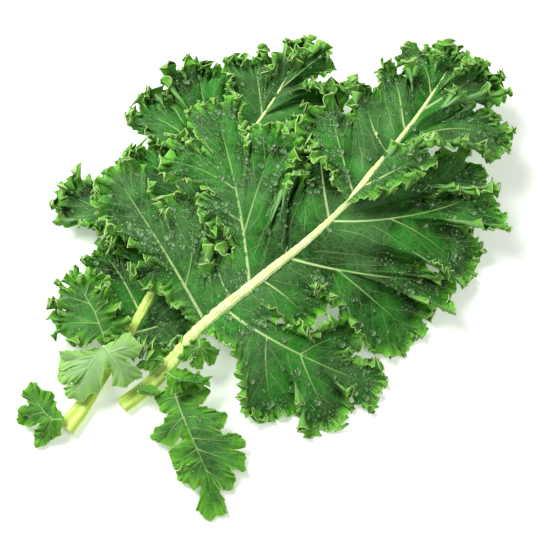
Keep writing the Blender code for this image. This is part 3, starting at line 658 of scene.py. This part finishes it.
def stitched(inner, inner_at, outer, outer_at):
    """Triangles between two rows of points whose places along the walk are given: in the order
    of those places, each point but the first makes a triangle with the one before it on its row
    and the last one passed on the other."""
    places = np.concatenate([inner_at[1:], outer_at[1:]])
    on_inner = np.arange(len(places)) < len(inner) - 1
    order = np.argsort(places, kind="stable")
    on_inner = on_inner[order]
    i = np.cumsum(on_inner) - on_inner
    j = np.cumsum(~on_inner) - ~on_inner
    next_inner = inner[np.minimum(i + 1, len(inner) - 1)]
    next_outer = outer[np.minimum(j + 1, len(outer) - 1)]
    return np.stack([inner[i], outer[j], np.where(on_inner, next_inner, next_outer)], axis=1)


def lattice(first, rows, cols):
    """Two triangles for each cell of a grid of points that are numbered row by row from first."""
    a = first + (np.arange(rows - 1)[:, None] * cols + np.arange(cols - 1)).ravel()
    b, c, d = a + cols, a + cols + 1, a + 1
    return np.concatenate([np.stack([a, b, c], 1), np.stack([a, c, d], 1)])


def vein_distance(points, ribs, size):
    """How far each point is from the border of the nearest rib, in mm, and how far along that rib
    it is, as a share that starts further on for a branch. The first is its distance to the rib's
    line less the rib's half width there, which falls off towards the rib's end. The first rib of
    all isn't counted: it is the midrib, which is a piece of its own."""
    nearest, outward = np.full(len(points), 99.0), np.ones(len(points))
    for rib in ribs[1:]:
        along = lengths_along(rib.line)
        width = size * (0.6 if rib.rank == 1 else 0.36) * min(1.3, (along[-1] / 60) ** 0.5)
        a, b = rib.line[:-1], rib.line[1:]
        close = np.flatnonzero(np.linalg.norm(points - rib.line.mean(0), axis=1) < along[-1] * 0.6 + 12)
        way = points[close, None] - a
        t = np.clip((way * (b - a)).sum(-1) / ((b - a) ** 2).sum(-1), 0, 1)
        gap = np.linalg.norm(way - t[..., None] * (b - a), axis=-1)
        k = gap.argmin(1)
        row = np.arange(len(close))
        share = (along[k] + t[row, k] * np.diff(along)[k]) / along[-1]
        border = gap[row, k] - width * (1 - share) ** 0.9 - 0.05
        nearer = border < nearest[close]
        nearest[close[nearer]] = border[nearer]
        outward[close[nearer]] = np.minimum(1, share[nearer] * 0.8 + 0.25 * (rib.rank - 1))
    return nearest, outward


def blade_sheet(midrib, phase, frill, teeth):
    """A blade without its thickness, as its points, its triangles, and four values of each point:
    its distance to the margin, its place along the margin, its share of its fibre's length, and the
    rank of the rib there. The ribs' own points come first, then an inner part with every other
    fibre, then an outer band with all of them."""
    points, ranks, along, fibres = whole_walk(midrib)
    inner = np.array((0.0, 0.035, 0.08, 0.14, 0.21, 0.28, 0.35, 0.42, 0.49))
    outer = np.array((0.56, 0.62, 0.675, 0.725, 0.77, 0.81, 0.85, 0.885, 0.92, 0.95, 0.975, 1.0))
    grid, inward, margin = fibre_grid(fibres, np.concatenate([inner, outer]), phase, frill, teeth)
    count = len(fibres)
    every = np.arange(count)
    half = np.unique(np.append(every[::2], count - 1))
    fine = max(1, round(STATION / (2 * COLUMN)))
    rib_at = np.interp(np.arange((len(points) - 1) * fine + 1) / fine, np.arange(len(points)), along)
    rib_points = point_at(points, rib_at)
    rib_rank = np.interp(rib_at, along, ranks)
    base, dense = len(rib_points), len(rib_points) + (len(inner) - 1) * len(half)
    first_row = base + np.arange(len(half))
    last_row = dense - len(half) + np.arange(len(half))
    triangles = np.concatenate([
        stitched(np.arange(base), rib_at, first_row, fibres[half, AT]),
        lattice(base, len(inner) - 1, len(half)),
        stitched(last_row, half, dense + every, every),
        lattice(dense, len(outer), count)])
    rows = len(inner) - 1
    inner_part, outer_part = grid[1 : rows + 1][:, half], grid[rows + 1 :]
    sheet = np.vstack([rib_points, inner_part.reshape(-1, 3), outer_part.reshape(-1, 3)])
    edge = np.concatenate([np.full(base, 30.0), inward[1 : rows + 1][:, half].ravel(),
                           inward[rows + 1 :].ravel()])
    fibre = np.concatenate([np.zeros(base), np.tile(margin[half], rows), np.tile(margin, len(outer))])
    share = np.concatenate([np.zeros(base), np.repeat(inner[1:], len(half)), np.repeat(outer, count)])
    rank = np.concatenate([rib_rank, np.full(len(sheet) - base, 2.0)])

    # The walk passes most of a rib twice, so rib points that coincide are made one.
    key = np.round(sheet * 500).astype(np.int64)
    key[base:, 0] = 10**7 + np.arange(len(sheet) - base)
    _, kept, place = np.unique(key, axis=0, return_index=True, return_inverse=True)
    triangles = place.ravel()[triangles]
    a, b, c = triangles.T
    triangles = triangles[(a != b) & (b != c) & (a != c)]
    corner = sheet[kept][triangles]
    if np.cross(corner[:, 1] - corner[:, 0], corner[:, 2] - corner[:, 0])[:, 2].sum() < 0:
        triangles = triangles[:, ::-1]
    return sheet[kept], triangles, (edge[kept], fibre[kept], share[kept], rank[kept])


def pressed(height):
    """Heights eased in between the table and the top of the bunch. Below 3 LOW they fall off to LOW
    exponentially, and above TALL they level off by a tanh."""
    eased = LOW + 2 * LOW * np.exp((height - 3 * LOW) / (2 * LOW))
    height = np.where(height < 3 * LOW, eased, height)
    return np.where(height > TALL, TALL + SQUEEZE * np.tanh((height - TALL) / SQUEEZE), height)


def add_blade(name, midrib, ribs, phase, materials, vein_size=1.0, frill=1.0, teeth=1.0):
    """A blade: its sheet, puffed up between the veins and gently uneven, with an underside that lies
    one thickness below it along its normals. The thickness swells under each rib. Returns the
    object, and the sheet's points, normals and distances to the margin."""
    sheet, triangles, (edge, fibre, share, rank) = blade_sheet(midrib, phase, frill, teeth)
    vein, outward = vein_distance(sheet, ribs, vein_size)
    puff = PUFF * (1 - np.exp(-np.clip(vein, 0, None) / 3.5)) + bumps(sheet, (12, 9, 17, 22, 7), 8)
    sheet[:, 2] += puff * np.clip(share / 0.15, 0, 1)
    corner = sheet[triangles]
    facing = np.cross(corner[:, 1] - corner[:, 0], corner[:, 2] - corner[:, 0])
    normal = np.zeros_like(sheet)
    for k in range(3):
        np.add.at(normal, triangles[:, k], facing)
    normal = unit(normal)
    swell = np.clip(1 - np.clip(vein + 0.6, 0, None) / 1.6, 0, 1)
    swell = swell * swell * (3 - 2 * swell)
    rib_thick = np.where(rank < 2, np.interp(rank, (0, 1, 2), RIB_THICK), RIB_THICK[1])
    thick = BLADE_THICK + (rib_thick - BLADE_THICK) * swell * 0.8
    sheet[:, 2] = pressed(sheet[:, 2])
    under = sheet - normal * thick[:, None]
    under[:, 2] = np.maximum(under[:, 2], 0.05)

    # The margin is closed by a strip between the two faces, along the edges of only one triangle.
    directed = triangles[:, [0, 1, 1, 2, 2, 0]].reshape(-1, 2)
    _, index, seen = np.unique(np.sort(directed, axis=1), axis=0, return_index=True, return_counts=True)
    a, b = directed[index[seen == 1]].T
    size = len(sheet)
    strip = np.concatenate([np.stack([b, a, a + size], 1), np.stack([b, a + size, b + size], 1)])
    faces = np.concatenate([triangles, triangles[:, ::-1] + size, strip])
    solid = np.vstack([sheet, under])
    solid[:, :2] -= MIDDLE
    piece = add_piece(name, solid * MM, faces.tolist(), materials)
    below = np.zeros(len(faces), int)
    below[len(triangles) : 2 * len(triangles)] = 1
    piece.data.polygons.foreach_set("material_index", below)
    for label, values in (("edge_mm", edge), ("fibre_mm", fibre), ("share", share), ("vein_mm", vein),
                          ("up_rib", outward)):
        add_layer(piece, label, np.tile(values, 2))
    return piece, (sheet, normal, edge)


def grow_leaf(stalk, half_widths, rows, blade_from):
    """A leaf's midrib and all its ribs. The blade starts inside the sides of the stalk, and from
    80 % of the leaf's length on it runs across under the stalk, which is thin there."""
    line = smooth_line(stalk, STATION)
    along = lengths_along(line)
    first = round(blade_from * (len(line) - 1))
    last = round(0.80 * (len(line) - 1))
    widths = np.interp(along / along[-1], [row[0] for row in half_widths], [row[1] for row in half_widths])
    gap = 0.86 * widths
    gap[last + 1 :] = 0
    midrib = Rib(line[first:], 0, 14, 10, 0.6, 0, gap[first:])
    return midrib, grow_ribs(midrib, rows, first / (len(line) - 1))


def leaf_finish(name, dark, mid, wax_sheen_colour, frill, pale, rough):
    """Kale leaf tissue with only a faint shine, letting some light through. It has pale blue-green
    patches, the colour of its wax and partly painted sheen in place of the shine. Its colour goes from
    dark inside to a brighter green in the frill, with pale side ribs, pale cross veins along the fibres,
    and a fine net."""
    material, tree, output = new_material(name)
    place = add_node(tree, "ShaderNodeTexCoord").outputs["Object"]
    value = {}
    for label in ("edge_mm", "fibre_mm", "share", "vein_mm", "up_rib"):
        value[label] = add_node(tree, "ShaderNodeAttribute", attribute_name=label).outputs["Fac"]
    for label, scale, detail in (("cloud", 45, 3.0), ("dust", 24, 5.0), ("wander", 110, 1.0)):
        value[label] = add_node(tree, "ShaderNodeTexNoise", in_Vector=place, in_Scale=scale,
                                in_Detail=detail).outputs[0]
    for label, scale in (("cell", 105), ("small_cell", 330)):
        value[label] = add_node(tree, "ShaderNodeTexVoronoi", feature="DISTANCE_TO_EDGE", in_Vector=place,
                                in_Scale=scale).outputs[0]

    # Each step names its result and works it out from values, which are numbers or earlier results.
    # FADE is 1 at its second value and below, 0 at its third and above, and smooth between.
    steps = (
        # Cross veins: one every 9 mm of margin, twice as many in the outer half.
        ("drift", "SUBTRACT", "wander", 0.5),
        ("bent", "MULTIPLY_ADD", "drift", 3.0, "fibre_mm"),
        ("from_line", "PINGPONG", "bent", 4.5),
        ("from_any_line", "PINGPONG", "bent", 2.25),
        ("line", "FADE", "from_line", 0.08, 0.36),
        ("any_line", "FADE", "from_any_line", 0.08, 0.3),
        ("inner_half", "FADE", "share", 0.5, 0.62),
        ("outer_half", "SUBTRACT", 1.0, "inner_half"),
        ("outer_line", "MULTIPLY", "any_line", "outer_half"),
        ("lines", "MAXIMUM", "line", "outer_line"),
        ("beside_rib", "FADE", "share", 0.06, 0.16),
        ("clear_of_rib", "SUBTRACT", 1.0, "beside_rib"),
        ("free_lines", "MULTIPLY", "lines", "clear_of_rib"),
        ("veins", "MULTIPLY", "free_lines", 0.55),
        # The net: cells of about 9 mm and of about 3 mm, whose threads fade out within 0.5 mm.
        ("thread", "FADE", "cell", 0.0, 0.045),
        ("small_thread", "FADE", "small_cell", 0.0, 0.15),
        ("net", "MULTIPLY", "thread", 0.22),
        ("small_net", "MULTIPLY", "small_thread", 0.12),
        ("nets", "MAXIMUM", "net", "small_net"),
        ("threads", "MAXIMUM", "veins", "nets"),
        # How much of each colour is laid on.
        ("shaded", "FADE", "cloud", 0.35, 0.65),
        # Pale wax patches: the wax's own colour, and partly painted sheen.
        ("waxy", "FADE", "dust", 0.38, 0.6),
        ("dusty", "MULTIPLY", "waxy", 0.5),
        ("near_edge", "FADE", "edge_mm", 0.5, 11.0),
        ("cloudy", "ADD", "cloud", 0.55),
        ("frilly", "MULTIPLY", "near_edge", "cloudy"),
        ("veined", "MULTIPLY", "threads", 0.45),
        ("on_rib", "FADE", "vein_mm", -0.35, 0.45),
        ("ribbed", "MULTIPLY", "on_rib", 0.85),
        ("at_edge", "FADE", "edge_mm", 0.2, 0.75),
        ("rimmed", "MULTIPLY", "at_edge", 0.62),
        # Relief: the ribs and clouds stand up, and the veins and net are sunk.
        ("round_rib", "FADE", "vein_mm", -0.4, 0.8),
        ("rib_relief", "MULTIPLY", "round_rib", 0.9),
        ("vein_relief", "MULTIPLY_ADD", "threads", -0.5, "rib_relief"),
        ("relief", "MULTIPLY_ADD", "cloud", 1.2, "vein_relief"),
    )
    for result, operation, *inputs in steps:
        settings = {f"in_{k}": value.get(item, item) for k, item in enumerate(inputs)}
        if operation == "FADE":
            node = add_node(tree, "ShaderNodeMapRange", interpolation_type="SMOOTHSTEP", in_3=1.0, in_4=0.0,
                            **settings)
        else:
            node = add_node(tree, "ShaderNodeMath", operation=operation, **settings)
        value[result] = node.outputs[0]

    # A rib is pale at its foot and turns to the frill's green towards its end.
    rib = add_node(tree, "ShaderNodeMix", data_type="RGBA", in_Factor=value["up_rib"], in_A=linear(pale),
                   in_B=linear(frill)).outputs["Result"]
    body = linear(mid)
    # The wax patches laid on here are partly painted sheen.
    for label, colour in (("shaded", linear(dark)), ("dusty", linear(wax_sheen_colour)), ("frilly", linear(frill)),
                          ("veined", linear(pale)), ("ribbed", rib), ("rimmed", linear(pale))):
        body = add_node(tree, "ShaderNodeMix", data_type="RGBA", in_Factor=value[label], in_A=body,
                        in_B=colour).outputs["Result"]
    bump = add_node(tree, "ShaderNodeBump", in_Height=value["relief"], in_Strength=0.6, in_Distance=0.0005)
    shader = add_node(tree, "ShaderNodeBsdfPrincipled", in_Base_Color=body, in_Normal=bump.outputs[0],
                      in_Roughness=rough, in_Specular_IOR_Level=0.04)
    glow = add_node(tree, "ShaderNodeBsdfTranslucent", in_Color=body)
    mix = add_node(tree, "ShaderNodeMixShader", in_0=0.15, in_1=shader.outputs[0], in_2=glow.outputs[0])
    tree.links.new(mix.outputs[0], output.inputs[0])
    return material


# Upper face: dark green, faint bluish wax patches that are partly painted sheen, and a dull, soft shine.
blade_face = leaf_finish("kale_blade_upper_face", "#042A05", "#338229", "#58914E", "#6CBE38", "#D6EEA4", 0.4)
# Underside: the same tissue seen from below, paler, greyer and matter, with proud pale ribs.
blade_under = leaf_finish("kale_blade_underside", "#5E9A44", "#7DB460", "#8FBF84", "#72B444", "#D9EFAC", 0.5)

wet_surfaces = []
for name, stalk, widths, rows, blade_from, phase, frill in (
        ("lower_leaf_blade", LOWER_STALK, LOWER_HALF_WIDTHS, LOWER_RIBS, 0.18, 0.7, 1.5),
        ("top_leaf_blade", TOP_STALK, TOP_HALF_WIDTHS, TOP_RIBS, 0.27, 3.1, 1.08),
        ("upper_leaf_blade", UPPER_STALK, UPPER_HALF_WIDTHS, UPPER_RIBS, 0.0, 5.2, 1.35)):
    midrib, ribs = grow_leaf(stalk, widths, rows, blade_from)
    piece, surface = add_blade(name + "_skin", midrib, ribs, phase, [blade_face, blade_under], frill=frill)
    wet_surfaces.append((name, surface))
    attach(piece, "root")
    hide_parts(name)


# ---- The leaflets ----------------------------------------------------------------------------
# Small leaflets grow low on each stalk, on short stalks of their own. They are younger than the
# blades, flatter and more deeply toothed, and one of them lies turned over, underside up.
LEAFLETS = [
    ("end_leaflet", [(-122, -96, 10.6), (-128, -97, 12), (-134, -92, 12), (-139, -85, 12),
                     (-141, -81, 13)], 9, [
        ("end_low", "mid", 0.20, -128, 15, -20, 1, 3, 8, 0, 0.50, 0),
        ("end_left", "mid", 0.50, -178, 18, -30, 1, 7, 8, 0, 0.60, 0)]),
    ("saddle_leaflet", [(-100, -53, 18.5), (-101, -48, 23), (-106, -36, 27), (-112, -26, 26),
                        (-119, -14, 22)], 13, [
        ("saddle_east", "mid", 0.18, 30, 15, -60, 3, 16, 10, 10, 0.80, 0),
        ("saddle_back", "mid", 0.46, 55, 17, 20, 3, 20, 10, 10, 0.80, 0),
        ("saddle_top", "mid", 0.70, 74, 19, -10, 3, 21, 11, 10, 0.80, 0),
        ("saddle_west", "mid", 0.32, 168, 30, -20, 4, 12, 13, 10, 0.80, 0),
        ("saddle_left", "mid", 0.58, 150, 28, -20, 3, 13, 12, 10, 0.80, 0)]),
    ("fold_leaflet", [(-99.5, -56, 26), (-96, -62, 27), (-90, -69, 23), (-86, -74, 18)], 10, [
        ("fold_left", "mid", 0.12, -126, 35, -5, 2, 14, 12, 0, 0.60, 0),
        ("fold_out", "fold_left", 0.24, 180, 25, -30, 3, 14, 13, 0, 0.90, 0),
        ("fold_low", "fold_left", 0.55, -172, 21, -10, 2, 12, 12, 0, 0.92, 0),
        ("fold_right", "mid", 0.30, 20, 19, 10, 2, 24, 12, 0, 0.85, 0)]),
    ("cut_leaflet", [(-80, -76, 12), (-76, -80, 14.5), (-71, -82, 13)], 7, []),
    ("cup_leaflet", [(-65, -62.5, 15.5), (-69, -62, 18), (-73, -62, 18.5), (-78, -63, 16)], 12, []),
    ("long_leaflet", [(-62, -70, 7), (-59, -79, 9), (-56, -88, 11), (-51, -100, 11), (-45, -113, 9),
                      (-39, -126, 6), (-36, -138, 3)], 12, [
        ("long_a", "mid", 0.20, 5, 19, -30, 1, 11, 9, 0, 0.70, 0),
        ("long_b", "mid", 0.34, -10, 26, -25, 2, 10, 12, 0, 0.80, 0),
        ("long_c", "mid", 0.50, -4, 31, 15, 3, 8, 13, 0, 0.84, 0),
        ("long_d", "mid", 0.66, -12, 30, 30, 3, 5, 13, 0, 0.84, 0),
        ("long_e", "mid", 0.82, -28, 18, 20, 1, 4, 11, 0, 0.84, 0),
        ("long_f", "mid", 0.22, -160, 13, 20, 1, 8, 8, 0, 0.60, 0),
        ("long_g", "mid", 0.34, -130, 20, 15, 2, 7, 11, 0, 0.65, 0),
        ("long_h", "mid", 0.60, -145, 17, -5, 1, 6, 9, 0, 0.60, 0),
        ("long_i", "mid", 0.76, -140, 17, 5, 1, 4, 10, 0, 0.70, 0)]),
    ("ruffle_leaflet", [(-63, -69, 15.5), (-58, -75, 22.5), (-51, -78, 25), (-42, -77, 20)], 11, []),
    ("hem_leaflet", [(-45, -50, 20), (-44, -54, 22), (-45, -59, 21.5), (-47, -65, 18)], 10, [
        ("hem_left", "mid", 0.34, -150, 13, 0, 1, 17, 7, 0, 0.80, 0),
        ("hem_right", "mid", 0.34, -40, 13, 0, 1, 17, 7, 0, 0.80, 0)]),
]
# A leaflet's face is yellower and more even than a blade's, with less wax on it.
young_face = leaf_finish("kale_leaflet_face", "#0E3A0A", "#458F27", "#55924A", "#62A82F", "#CBE59A", 0.4)
# Its underside is the palest tissue of all.
young_under = leaf_finish("kale_leaflet_underside", "#7DB25C", "#98C877", "#A5CE94", "#93CB62",
                          "#E4F4BE", 0.5)

for phase, (name, points, width, rows) in enumerate(LEAFLETS):
    # A leaflet's midrib is part of its blade, so it is counted among the side ribs as well.
    midrib = Rib(smooth_line(points, STATION), 1, width, 0, 0.5, 0)
    ribs = [midrib] + grow_ribs(midrib, rows, 0)
    faces = [young_under, young_face] if name == "fold_leaflet" else [young_face, blade_under]
    frill = {"saddle_leaflet": 1.1, "ruffle_leaflet": 0.8, "hem_leaflet": 0.7, "long_leaflet": 0.28,
             "fold_leaflet": 0.25}.get(name, 0.42)
    piece, surface = add_blade(name + "_skin", midrib, ribs, phase, faces, vein_size=0.55, frill=frill,
                               teeth=2.3)
    if name != "fold_leaflet":  # water runs off the waxy underside that this one turns up
        wet_surfaces.append((name, surface))
    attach(piece, "root")
    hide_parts(name)


# ---- The water -------------------------------------------------------------------------------
# The leaves have been rinsed, and clear drops stand on their wax: a mist of fine ones and a few
# broad ones, each a flat round dome held by its own surface.
LIGHT_WAY = unit(np.array((0.8, -0.6, 0.0)))  # the way the main light crosses the table


def ring_cells(first, sides):
    """Two triangles for each side of the band between a ring of points, numbered from first, and
    the ring after it."""
    a = first + np.arange(sides)
    b = first + (np.arange(sides) + 1) % sides
    c, d = b + sides, a + sides
    return np.concatenate([np.stack([a, b, c], 1), np.stack([a, c, d], 1)])


def drop_mesh(centres, normals, radii, sides, levels, seed):
    """Domes on a surface, as points, triangles and how much light is caught at each point. A dome is
    the upper part of an ellipsoid, 0.6 as high as it is wide, in rings at these latitudes round its
    normal, with a point on top and one sunk in the leaf. It works as a lens, so the light is caught
    on the side away from the lamp, and that bright patch is painted on as colour."""
    rng = np.random.default_rng(seed)
    u = unit(np.cross(normals, rng.normal(size=centres.shape)))
    w = np.cross(normals, u)
    turn = 2 * math.pi * np.arange(sides) / sides
    latitude = np.radians(levels)[:, None]
    x, y = np.cos(latitude) * np.cos(turn), np.cos(latitude) * np.sin(turn)
    z = np.sin(latitude) * np.ones(sides)
    dome = np.concatenate([np.stack([x, y, z], -1).reshape(-1, 3), [(0, 0, 1), (0, 0, -0.25)]])
    stretch = rng.uniform(0.9, 1.25, len(centres))[:, None, None]
    offset = stretch * dome[None, :, :1] * u[:, None] + dome[None, :, 1:2] * w[:, None]
    offset = radii[:, None, None] * (offset + 0.6 * dome[None, :, 2:] * normals[:, None])
    points = centres[:, None] + offset
    points[..., 2] = np.maximum(points[..., 2], 0.02)
    # The caught light, which the water's material paints on as a highlight.
    caught = np.clip((offset / radii[:, None, None]) @ LIGHT_WAY, 0, 1) ** 1.5
    rows = len(levels)
    k = (rows - 1) * sides + np.arange(sides)
    n = (rows - 1) * sides + (np.arange(sides) + 1) % sides
    top, bottom = rows * sides, rows * sides + 1
    between = [ring_cells(row * sides, sides) for row in range(rows - 1)]
    one = np.concatenate(between + [np.stack([k, n, np.full(sides, top)], 1),
                                    np.stack([n % sides, k % sides, np.full(sides, bottom)], 1)])
    faces = (one[None] + (len(dome) * np.arange(len(centres)))[:, None, None]).reshape(-1, 3)
    return points.reshape(-1, 3), faces.tolist(), caught.ravel()


# Water: clear, quite smooth, and of refractive index 1.33. The bright patch that a drop gathers
# like a lens is painted on as a colour, paler and less clear the more light is caught there; the
# rest of the drop is partly painted a light green, for the leaf seen through it.
water, tree, output = new_material("water")
caught = add_node(tree, "ShaderNodeAttribute", attribute_name="caught").outputs["Fac"]
painted_lens_colour = add_node(tree, "ShaderNodeMix", data_type="RGBA", in_Factor=caught, in_A=linear("#6CB455"),
                in_B=linear("#ECFCDC")).outputs["Result"]
clear = add_node(tree, "ShaderNodeMapRange", in_Value=caught, in_3=0.72, in_4=0.08).outputs[0]
shader = add_node(tree, "ShaderNodeBsdfPrincipled", in_Base_Color=painted_lens_colour, in_Transmission_Weight=clear,
                  in_Roughness=0.02, in_IOR=1.33)
tree.links.new(shader.outputs[0], output.inputs[0])

rng = np.random.default_rng(11)
for name, (sheet, normal, edge) in wet_surfaces:
    number = {"top_leaf_blade": 3400, "upper_leaf_blade": 1000, "lower_leaf_blade": 700}.get(name)
    number = number or max(6, len(sheet) // 200)
    # Drops gather in patches where the leaf isn't steep, and are sparse on the ribs and deep inside.
    able = np.flatnonzero((normal[:, 2] > 0.3) & (edge > 2.0))
    chance = np.exp(1.3 * bumps(sheet[able], (60, 45, 80), 2)) * np.where(edge[able] < 29.5, 1, 0.2)
    # Of each kind: how many to a drop, least radius, spread of the radii, greatest radius, and the
    # sides and levels of a dome.
    for kind, times, least, spread, most, sides, levels in (
            ("drops", 1, 0.55, 0.45, 2.5, 7, (-12, 22, 58)),
            ("mist", 2, 0.22, 0.25, 0.5, 5, (15,))):
        count = min(times * number, len(able) // 2)
        chosen = rng.choice(able, count, replace=False, p=chance / chance.sum())
        radii = np.minimum(least * np.exp(rng.exponential(spread, count)), most)
        radii = np.where(edge[chosen] < 9, np.minimum(radii, 0.9), radii)
        centres = sheet[chosen] + normal[chosen] * 0.02
        centres[:, :2] -= MIDDLE
        points, faces, light = drop_mesh(centres, normal[chosen], radii, sides, levels, count)
        piece = add_piece(name + "_" + kind, points * MM, faces, [water])
        add_layer(piece, "caught", light)
        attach(piece, "root")
